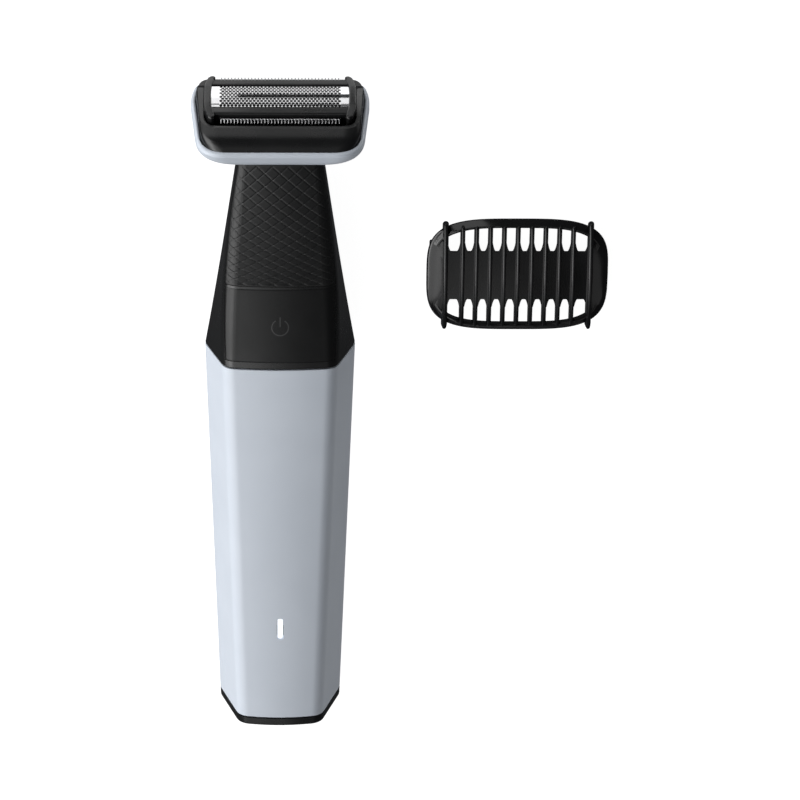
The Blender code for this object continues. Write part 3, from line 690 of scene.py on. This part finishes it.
def make_button(look, ink):
    """The smooth power button, with its open ring and bar."""
    low, high = node_span("power_button")

    def relief(x, y, reach):
        border = min(reach - abs(x), y - low, high - y)
        return -0.05 * max(0.0, 1 - border / 0.15) ** 2

    button = build("power_button_skin", front_patch((low, high), PANEL_EDGE, 1.6, 0, 120, 90, relief),
                   on_groomer, look)
    switch_low, switch_high = node_span("tact_switch")
    combine(button, box((-SWITCH_POCKET_X, SWITCH_POCKET_X), (switch_low - 0.5, switch_high + 0.5),
                        SWITCH_POCKET_Z), on_groomer)
    finish_piece(button, "button", "soft_grip", "power_button", sharp=50.0)
    centre = (low + high) / 2 + ICON_Y
    turns = spread(math.pi / 2 + ICON_OPENING, math.pi * 2.5 - ICON_OPENING, 60)
    ring = [(ICON_RADIUS * math.cos(t), centre + ICON_RADIUS * math.sin(t)) for t in turns]
    bar = [(0.0, centre + rise) for rise in spread(0.2, ICON_RADIUS + 0.7, 10)]
    for name, path in (("power_ring", ring), ("power_bar", bar)):
        mark = build(name, surface_strip(path, ICON_LINE, 0.03), on_groomer, ink)
        finish_piece(mark, "button", "soft_grip", sharp=60.0)


def make_base(look):
    """End cap with its plug into the shells, the charging inlet and the two screw recesses."""
    ease = [(0.5 * (1 - math.sin(t)), 0.5 * (1 - math.cos(t))) for t in spread(math.pi / 2, 0, 5)]
    rings = [full_ring(y, inset) for y, inset in ease] + [full_ring(CAP_Y, 0.0)]
    rings += [full_ring(CAP_Y + 0.01, WALL + GAP), full_ring(8.0, WALL + GAP)]
    cap = build("base_cap_skin", loft(rings), on_groomer, look)
    inlet = [(x * 3.4, DRIVE_Z + z * 2.2) for x, z in ((-1, -1), (1, -1), (1, 1), (-1, 1))]
    combine(cap, prism(rounded(inlet, [1.4] * 4), -1, 9.0, "y"), on_groomer)
    for side in (-1, 1):
        combine(cap, disc(1.9, -1, 1.6, (side * 9.5, DRIVE_Z), "y"), on_groomer)
        combine(cap, disc(1.2, -1, 9.0, (side * 9.5, DRIVE_Z), "y"), on_groomer)
    finish_piece(cap, "handle", "black_plastic", "base_cap")


def make_lamp(look):
    """The light guide: an oval bar with a domed top, just below the shell's surface."""
    low, high = (Vector(v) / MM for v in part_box("light_pipe"))
    half = (high.x - low.x) / 2
    ends = (low.y + REST_Y, high.y + REST_Y)
    rings = []
    top = high.z
    for z, inset in ((low.z, 0.0), (top - 0.35, 0.0), (top - 0.15, 0.06), (top - 0.04, 0.2), (top, 0.45)):
        x = half - inset
        y0, y1 = ends[0] + inset, ends[1] - inset
        outline = rounded([(-x, y0), (x, y0), (x, y1), (-x, y1)], [max(0.75 - inset, 0.2)] * 4)
        rings.append([(px, py, z) for px, py in outline])
    lamp = build("lamp_lens", loft(rings), on_groomer, look)
    finish_piece(lamp, "handle", "led_window", "light_pipe", sharp=60.0)


# ---------------------------------------------------------------- head

HEAD_STEPS = 12


def head_outline(side, front, back, ease_front, taper=0.9):
    """Outline round the head in its own frame: widest a little behind the foil."""
    corners = [(side * taper, front), (side, 6.5), (side * 0.93, back)]
    points = rounded_side([(0, front)] + corners + [(0, back)], [ease_front, 4.0, 3.0], HEAD_STEPS)
    return points + [(-x, y) for x, y in reversed(points)]


def ray_hit(ring, middle, angle):
    """Where a ray from the section's middle meets the section's outline."""
    aim = Vector((math.cos(angle), math.sin(angle)))
    best = None
    for (x0, z0), (x1, z1) in zip(ring, ring[1:] + ring[:1]):
        a = Vector((x0, z0 - middle))
        side = Vector((x1 - x0, z1 - z0))
        cross = aim.x * side.y - aim.y * side.x
        if abs(cross) < 1e-9:
            continue
        along = (a.x * side.y - a.y * side.x) / cross
        share = (a.x * aim.y - a.y * aim.x) / cross
        if along > 0 and -1e-9 <= share <= 1 + 1e-9 and (best is None or along > best):
            best = along
    return (aim.x * best, middle + aim.y * best)


def neck_end_ring(outline, inset):
    """The neck's end section, resampled by angle to match a head outline's points."""
    y = NECK_Y + GAP
    ring = [(x, z) for x, _, z in full_ring(y, inset)]
    middle = DRIVE_Z + 0.5
    points = [ray_hit(ring, middle, math.atan2(-across - 1.5, x)) for x, across in outline]
    return [on_groomer(x, y, z) / MM for x, z in points]


def head_ring(outline, out, inset=0.0):
    return [on_head(x * (1 - inset / 25), y * (1 - inset / 16), out) / MM for x, y in outline]


def in_world(x, y, z):
    return Vector((x, y, z)) * MM


LIP = 0.8                         # radius of the rim's rounded lip


def make_collar(look):
    """The pale collar that runs from the head's rim down to the neck."""
    rim = head_outline(24.6, -17.5, 12.8, 7.5)
    base = head_outline(23.9, -16.3, 12.2, 9.0)
    low = head_outline(18.0, -12.7, 9.6, 8.0)
    outer = [head_ring(rim, RIM_TOP - LIP, 0.06), head_ring(rim, RIM_TOP - 1.5, 0.06),
             head_ring(base, RIM_BOTTOM), head_ring(low, -14.0), neck_end_ring(low, 0.0)]
    outer = smooth_through(outer, 6)
    turns = spread(0, math.pi / 2, 6)
    lip = [head_ring(rim, RIM_TOP - LIP * (1 - math.cos(t)), 0.06 + LIP * (1 - math.sin(t)))
           for t in turns[:-1]]
    mouth = head_outline(23.4, -16.8, 12.0, 6.5)
    inner = [head_ring(mouth, RIM_TOP - 0.2), head_ring(mouth, RIM_TOP - 1.5),
             head_ring(base, RIM_BOTTOM, 1.5), head_ring(low, -14.0, 1.8), neck_end_ring(low, WALL)]
    collar = build("head_collar_skin", tube(lip + outer, inner), in_world, look)
    finish_piece(collar, "handle", "pale_shell", "head_collar", sharp=50.0)


def frame_outline(grow=0.0, front=FRAME_FRONT):
    """The cartridge frame in plan, its front corners rounder than its back ones."""
    side = FRAME_X + grow
    corners = [(-side, front - grow), (side, front - grow),
               (side, FRAME_BACK + grow), (-side, FRAME_BACK + grow)]
    return rounded(corners, [4.4, 4.4, 3.2, 3.2], 10)


def stepped(lower, upper, low, step, high):
    levels = ((lower, low), (lower, step), (upper, step), (upper, high))
    return loft([[(x, y, z) for x, y in outline] for outline, z in levels])


def make_casing(look):
    """The black casing round the cartridge: convex in front, lower behind, with a stepped well."""
    top = head_outline(22.6, -11.2, 10.3, 4.5, 0.95)
    shoulder = head_outline(23.0, -14.6, 11.1, 5.0, 0.93)
    seat = head_outline(23.1, -16.5, 11.7, 6.2)
    inside = head_outline(22.8, -14.3, 10.8, 8.0)
    lower = head_outline(22.2, -13.4, 10.4, 8.0)
    toe = head_outline(19.4, -11.6, 8.6, 6.0)
    skirt = smooth_through([[(x, y, z) for x, y in ring] for ring, z in
                            ((top, CASING_TOP), (shoulder, CASING_TOP - 1.7), (seat, RIM_TOP))], 6)
    hidden = [[(x, y, z) for x, y in ring] for ring, z in
              ((inside, RIM_TOP - 0.3), (inside, -8.4), (lower, CASING_FLOOR[0] + 1.4),
               (toe, CASING_FLOOR[0]))]
    casing = build("head_casing_skin", loft(skirt + hidden), on_head, look)
    well = stepped(frame_outline(GAP - 0.8), frame_outline(GAP, WELL_FRONT), CASING_FLOOR[1],
                   FRAME_STEP - GAP, 2.0)
    combine(casing, well, on_head)
    lowered = [(5.0, 2.0), (5.0, CASING_TOP), (8.6, CASING_BACK_TOP), (15.0, CASING_BACK_TOP), (15.0, 2.0)]
    combine(casing, prism(lowered, -30.0, 30.0, "x"), on_head)
    combine(casing, disc(4.6, CASING_FLOOR[0] - 1, CASING_FLOOR[1] + 1, (0, -1.2)), on_head)
    soften(casing, 0.22, 3, 40.0)
    finish_piece(casing, "handle", "black_plastic", "head_casing", sharp=50.0)


def arch(across):
    """Height of the foil's outside over its crown, at a distance across it."""
    return math.sqrt(FOIL_RADIUS ** 2 - across ** 2) - FOIL_RADIUS


CHEEK_PATH = ((17.8, -8.2), (18.6, -8.2), (19.6, -5.0), (19.6, 4.4), (18.6, 7.1), (17.6, 7.1))
CHEEK_EASES = (0.7, 2.0, 2.0, 0.9)
CHEEK_HALF = 1.05
FRAME_BARS = ((-7.2, FOIL_EDGES[0] - 0.35, -0.55), (FOIL_EDGES[1] + 0.5, 6.45, -0.4))    # edges and top
BAR_FLOOR = -7.6
WALL_ACROSS = (-7.0, 6.0)         # the side walls stay clear of the well's rounded corners


def cheek_sweep(side):
    """One end of the frame: a rounded bar bent round the end, with a horn at both of its ends."""
    middle = rounded_side(CHEEK_PATH, CHEEK_EASES, 10)
    first, final = CHEEK_PATH[0], CHEEK_PATH[-1]
    ends = (0.0, 0.12, 0.4, 0.8)
    path = [(first[0] + step, first[1]) for step in ends] + middle
    path += [(final[0] + step, final[1]) for step in reversed(ends)]
    rings = []
    last = len(path) - 1
    for k, (x, y) in enumerate(path):
        x0, y0 = path[max(k - 1, 0)]
        x1, y1 = path[min(k + 1, last)]
        normal = Vector((y1 - y0, x0 - x1)).normalized()
        width = CHEEK_HALF * (0.35, 0.65, 0.9, 1.0)[min(k, last - k, 3)]
        top = cheek_top(y)
        shape = rounded([(-width, FRAME_STEP), (width, FRAME_STEP), (width, top), (-width, top)],
                        [0.1, 0.1, 0.7, 0.7], 5)
        rings.append([(side * (x + normal.x * a), y + normal.y * a, z) for a, z in shape])
    return loft(rings)


def cheek_top(across):
    """The cheeks stand highest beside the foil and fall off a little towards the horns."""
    return 0.35 - 0.011 * across ** 2


def make_frame(look):
    """The cartridge frame: two bars beside the foil and a bent cheek at each end."""
    reach = CHEEK_X - 0.1
    bars = []
    for low, high, top in FRAME_BARS:
        corners = [(low, BAR_FLOOR), (high, BAR_FLOOR), (high, top), (low, top)]
        shape = rounded(corners, [0.3, 0.3, 0.3, 0.7], 6)
        bars.append(prism(shape, -reach, reach, "x"))
    frame = build("cartridge_frame_skin", bars[0], on_head, look)
    for shape in (bars[1], cheek_sweep(1), cheek_sweep(-1)):
        combine(frame, shape, on_head, "UNION")
    for side in (-1, 1):
        wall = sorted((side * (CHEEK_X - 0.6), side * (FRAME_X - 1.2)))
        combine(frame, box(wall, WALL_ACROSS, (FRAME_FLOOR, FRAME_STEP + 1)), on_head, "UNION")
    finish_piece(frame, "cartridge", "black_plastic", "cartridge_frame", sharp=42.0)


HOLE_PITCH = 1.0
HOLE_RADII = (0.44, 0.385)
HOLE_ROWS = 11
FOIL_TAB = 1.85                   # plain metal at each end
FOIL_SHEET = 0.08


def holed_cell(x0, x1, y0, y1):
    """One cell of the foil: a flat square with a round hole, as points and faces without thickness."""
    middle = ((x0 + x1) / 2, (y0 + y1) / 2)
    rim = [(x0, y0), (middle[0], y0), (x1, y0), (x1, middle[1]), (x1, y1), (middle[0], y1), (x0, y1),
           (x0, middle[1])]
    hole = []
    for k in range(16):
        turn = math.radians(-135) + 2 * math.pi * k / 16
        hole.append((middle[0] + HOLE_RADII[0] * math.cos(turn), middle[1] + HOLE_RADII[1] * math.sin(turn)))
    faces = []
    for k in range(8):
        after = (k + 1) % 8
        faces.append([k, after, 8 + (2 * k + 2) % 16, 8 + 2 * k + 1])
        faces.append([k, 8 + 2 * k + 1, 8 + 2 * k])
    return rim + hole, faces


def plain_cell(x0, x1, y0, y1):
    middle = (x0 + x1) / 2
    return [(x0, y0), (middle, y0), (x1, y0), (x1, y1), (middle, y1), (x0, y1)], [[0, 1, 2, 3, 4, 5]]


def make_foil(look):
    """Thin arched foil with staggered rows of round holes between two plain end tabs."""
    half = FOIL_X - FOIL_TAB
    columns = int(2 * half / HOLE_PITCH)
    start = -columns * HOLE_PITCH / 2
    ys = spread(*FOIL_EDGES, HOLE_ROWS)
    cells = []
    for row, (y0, y1) in enumerate(zip(ys, ys[1:])):
        shift = HOLE_PITCH / 2 if row % 2 else 0.0
        count = columns - 1 if row % 2 else columns
        for k in range(count):
            left = start + shift + k * HOLE_PITCH
            cells.append(holed_cell(left, left + HOLE_PITCH, y0, y1))
        if shift:
            cells.append(plain_cell(start, start + shift, y0, y1))
            cells.append(plain_cell(-start - shift, -start, y0, y1))
        for edge in spread(-FOIL_X, start, 3)[:-1]:
            step = (start + FOIL_X) / 3
            cells.append(plain_cell(edge, edge + step, y0, y1))
            cells.append(plain_cell(-edge - step, -edge, y0, y1))
    points, faces = together(*cells)
    flat = [(x, y, arch(y)) for x, y in points]
    foil = build("foil_sheet", (flat, faces), on_head, look)
    bm = bmesh.new()
    bm.from_mesh(foil.data)
    bmesh.ops.remove_doubles(bm, verts=bm.verts, dist=0.00002)
    bm.normal_update()
    up = on_head(0, 0, 1) - on_head(0, 0, 0)
    for face in bm.faces:
        if face.normal.dot(up) < 0:
            face.normal_flip()
    bm.to_mesh(foil.data)
    bm.free()
    step = foil.modifiers.new("thickness", "SOLIDIFY")
    step.thickness = FOIL_SHEET * MM
    step.offset = -1
    settle(foil)
    finish_piece(foil, "cartridge", "foil_steel", "shaving_foil", sharp=45.0)


def toothed(reach, teeth, root, tip, fill):
    """Outline of a comb strip with round-ended teeth that reach out to tip."""
    pitch = 2 * reach / teeth
    aim = 1 if tip > root else -1
    neck = root + (tip - root) * 0.3
    edge = []
    for k in range(teeth):
        middle = -reach + (k + 0.5) * pitch
        half = pitch * fill / 2
        end = half * 0.62
        edge.append((middle - half, neck))
        for turn in spread(math.pi, 0, 6):
            edge.append((middle + end * math.cos(turn), tip - aim * end + aim * end * math.sin(turn)))
        edge.append((middle + half, neck))
    return [(-reach, root)] + edge + [(reach, root)]


BLADE_SHIFT = 0.3                 # where the moving blades have stopped
GUARD_REACH = {"front": (-7.5, -9.7), "back": (6.8, 9.2)}     # root and tip of the teeth


def make_trimmers(guard_looks, blade_look):
    """The fixed guards of the two trimmers and, just under each, its moving blade."""
    for name, (root, tip) in GUARD_REACH.items():
        inward = 1 if name == "front" else -1
        shape = prism(toothed(TEETH_X - 0.1, TEETH, root, tip, 0.44), GUARD_Z - 0.4, GUARD_Z)
        guard = build(f"{name}_guard_teeth", shape, on_head, guard_looks[name])
        soften(guard, 0.12, 3, 40.0)
        finish_piece(guard, "cartridge", "steel", f"{name}_trimmer_guard", sharp=50.0)
        outline = [(x + BLADE_SHIFT, y) for x, y in toothed(TEETH_X - 1.5, TEETH - 3, root,
                                                            tip + inward * 0.5, 0.4)]
        shape = prism(outline, GUARD_Z - 1.1, GUARD_Z - 0.7)
        blade = build(f"{name}_blade_teeth", shape, on_head, blade_look)
        soften(blade, 0.04, 1, 40.0)
        finish_piece(blade, "cutter", "steel", f"{name}_trimmer_blade", sharp=50.0)


# ---------------------------------------------------------------- comb

def comb_outline(inset=0.0, count=144):
    outline = []
    for k in range(count):
        t = 2 * math.pi * k / count
        c, s = math.cos(t), math.sin(t)
        x = (COMB_HALF[0] - inset) * math.copysign(abs(c) ** (2 / COMB_POWER), c)
        y = (COMB_HALF[1] - inset) * math.copysign(abs(s) ** (2 / COMB_POWER), s)
        outline.append((x, y))
    return outline


RING_PROFILE = ((0.25, 0.0), (0.05, 0.08), (0.0, 0.24), (0.12, 0.36), (0.65, 0.63), (1.2, 0.9), (1.4, 0.99),
                (1.9, 1.0), (2.15, 0.93), (2.25, 0.8), (2.25, 0.0))


def ring_top(x):
    """The ring is level along the teeth and dips towards both cheeks."""
    dip = max(0.0, (abs(x) - 17.0) / (COMB_HALF[0] - 17.0))
    return COMB_RING_Z[1] - 1.7 * dip ** 1.3


def comb_ring(inset, share):
    """One line round the ring, at a share of its height."""
    low = COMB_RING_Z[0]
    return [(x, y, low + (ring_top(x) - low) * share) for x, y in comb_outline(inset)]


def make_comb(look):
    """One moulding: a shallow ring on two clip legs, sloping cheeks, a plate and ribs across it all."""
    rings = [comb_ring(inset, share) for inset, share in RING_PROFILE]
    comb = build("comb_moulding", tube(rings, []), on_comb, look)
    for shape in (comb_plate(), *comb_cheeks(), *comb_ribs(), *comb_legs()):
        combine(comb, shape, on_comb, "UNION")
    finish_piece(comb, "comb", "gloss_black", "click_on_comb", sharp=40.0)


def rib_places():
    reach = COMB_RIB_PITCH * (COMB_THIN_RIBS - 1) / 2
    return [-COMB_THICK_RIB_X] + spread(-reach, reach, COMB_THIN_RIBS - 1) + [COMB_THICK_RIB_X]


def comb_plate():
    """The plate over the foil. Its long edges run out along every rib in a small gusset."""
    half, low, high = COMB_PLATE
    gusset = ((0.0, 2.3), (0.75, 2.3), (0.85, 1.7), (1.05, 0.9), (1.3, 0.25), (1.45, 0.05), (1.6, 0.0))
    edge = []
    ribs = rib_places()
    for left, right in zip(ribs, ribs[1:]):
        edge += [(left + off, half + rise) for off, rise in gusset]
        edge += [(right - off, half + rise) for off, rise in reversed(gusset[1:])]
    edge.append((ribs[-1], half + gusset[0][1]))
    outline = edge + [(x, -y) for x, y in reversed(edge)]
    return prism(outline, low, high)


CHEEK_DOME = ((0.12, 4.4), (0.02, 4.62), (0.02, 4.85), (0.2, 5.08), (0.6, 5.28), (1.5, 5.52), (2.8, 5.78),
              (4.2, 5.98))


def comb_cheeks():
    """A sloping end on each side, from the thick rib out to the ring."""
    cheeks = []
    inner = COMB_THICK_RIB_X - 0.4
    for side in (-1, 1):
        rings = []
        for inset, z in CHEEK_DOME:
            edge = [(abs(x), y) for x, y in comb_outline(inset) if x * side >= inner + 0.1]
            edge.sort(key=lambda p: math.atan2(p[1], p[0]))
            arc = [edge[round(i * (len(edge) - 1) / 24)] for i in range(25)]
            rings.append([(side * x, y, z) for x, y in [(inner, arc[0][1])] + arc + [(inner, arc[-1][1])]])
        cheeks.append(loft(rings))
    return cheeks


THICK_RIB = (0.9, 16.0, 1.9)      # half-width, reach and rise above its ends
THIN_RIB = (0.72, 15.2, 1.6)
RIB_BOTTOM = 4.6
RIB_END_TOP = 6.9


def comb_ribs():
    """Ribs with round ends, narrower on top. The two outer ones are thicker and run past the ring."""
    ribs = []
    for x in rib_places():
        thick = abs(x) == COMB_THICK_RIB_X
        half, reach, rise = THICK_RIB if thick else THIN_RIB
        rings = []
        stations = spread(-1, 1, 32)
        ends = [reach * math.copysign(math.sin(math.pi / 2 * abs(t) ** 0.55), t) for t in stations]
        for y in ends:
            into = reach - abs(y)
            width = half * math.sqrt(1 - max(0.0, 1 - (into + 0.02) / half) ** 2)
            top = RIB_END_TOP + rise * (1 - (abs(y) / reach) ** 2) ** 0.9
            top -= 0.5 * (1 - width / half)
            corners = [(x - width, RIB_BOTTOM), (x + width, RIB_BOTTOM), (x + width * 0.62, top),
                       (x - width * 0.62, top)]
            shape = rounded(corners, [0.05, 0.05, width * 0.55, width * 0.55], 4)
            rings.append([(px, y, pz) for px, pz in shape])
        ribs.append(loft(rings))
    return ribs


def comb_legs():
    """The clip legs at both ends, each with a small snap hook at its foot."""
    low = COMB_RING_Z[0]
    out = COMB_HALF[0]
    leg = rounded([(out - 2.5, 0), (out - 0.9, 0), (out - 0.7, low + 0.4), (out - 2.1, low + 0.4),
                   (out - 2.1, 2.2)], [0.5, 0.4, 0.1, 0.1, 0.5], 5)
    legs = []
    for side in (-1, 1):
        rings = []
        for y, inset in eased_ends(-COMB_LEG_Y, COMB_LEG_Y, 6, 0.4):
            middle = out - 1.6
            rings.append([(side * (middle + (x - middle) * (1 - inset)), y, z) for x, z in leg])
        legs.append(loft(rings))
    return legs


# ---------------------------------------------------------------- what shows of the CAD's own parts

def dress(nodes, looks):
    """Gives the CAD model's own inner and small parts their finished materials."""
    for names, look in looks:
        for name in names.split():
            mesh = nodes[name].data
            mesh.materials.clear()
            mesh.materials.append(look)


def dress_inside(nodes):
    bright = steel("bright_steel", (0.62, 0.62, 0.63), 0.3)
    white = moulding("white_moulding", (0.62, 0.62, 0.58))
    dress(nodes, [
        ("motor motor_shaft", bright),
        ("base_screw_left base_screw_right grip_screw", steel("screw_steel", (0.35, 0.35, 0.36), 0.35)),
        ("cutter_spring_left cutter_spring_right led", bright),
        ("battery_contact_left battery_contact_right battery_link", steel("nickel", (0.55, 0.53, 0.48), 0.3)),
        ("socket_pin_left socket_pin_right", steel("pin_plating", (0.60, 0.50, 0.30), 0.25)),
        ("motor_terminal_left motor_terminal_right", steel("brass", (0.55, 0.38, 0.14), 0.3)),
        # The foil cutter is painted near-black: painted shade inside the head, so that the foil's holes show
        # dark. The real cutter is bright steel.
        ("foil_cutter", plain("painted_shade_cutter_steel", (0.008, 0.008, 0.008), 0.6)),
        ("eccentric_cam drive_yoke cutter_carrier tact_switch", white),
        ("chassis motor_cradle joint_collar motor_end_bell charging_socket",
         moulding("black_moulding", (0.012, 0.012, 0.013))),
        ("shaft_seal", moulding("seal_rubber", (0.02, 0.02, 0.02), 0.75)),
        ("circuit_board", moulding("solder_mask", (0.01, 0.11, 0.04), 0.35)),
        ("battery_cell_left battery_cell_right", moulding("cell_wrap", (0.03, 0.12, 0.28), 0.3)),
    ])


# ---------------------------------------------------------------- the whole scene

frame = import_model()
cad_box = [list(corner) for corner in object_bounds()]
comb_low, comb_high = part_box("click_on_comb")
comb_middle = Vector(((comb_low.x + comb_high.x) / 2, (comb_low.y + comb_high.y) / 2, 0))
make_camera((cad_box[0][0] + cad_box[1][0]) / 2)
make_studio()
pale = pale_paint()
black = satin_black()
make_body(pale)
make_base(black)
make_grip_shells(black)
make_grip_pad(grip_rubber("pad_rubber", 0.42, 0.43))
make_button(grip_rubber("button_rubber", 0.30, 0.32), icon_ink())
make_lamp(lamp_glow())
make_collar(pale)
make_casing(black)
make_frame(black)
make_foil(steel("bright_foil", (0.80, 0.80, 0.81), 0.09))
make_trimmers({"front": steel("front_guard_steel", (0.70, 0.70, 0.71), 0.18),
               # The back guard is the same steel as the front one, painted darker: painted shade.
               "back": steel("back_guard_painted_shade_steel", (0.26, 0.26, 0.27), 0.3)},
              steel("blade_steel", (0.24, 0.24, 0.25), 0.3))
make_comb(gloss_black())
dress_inside(frame["nodes"])
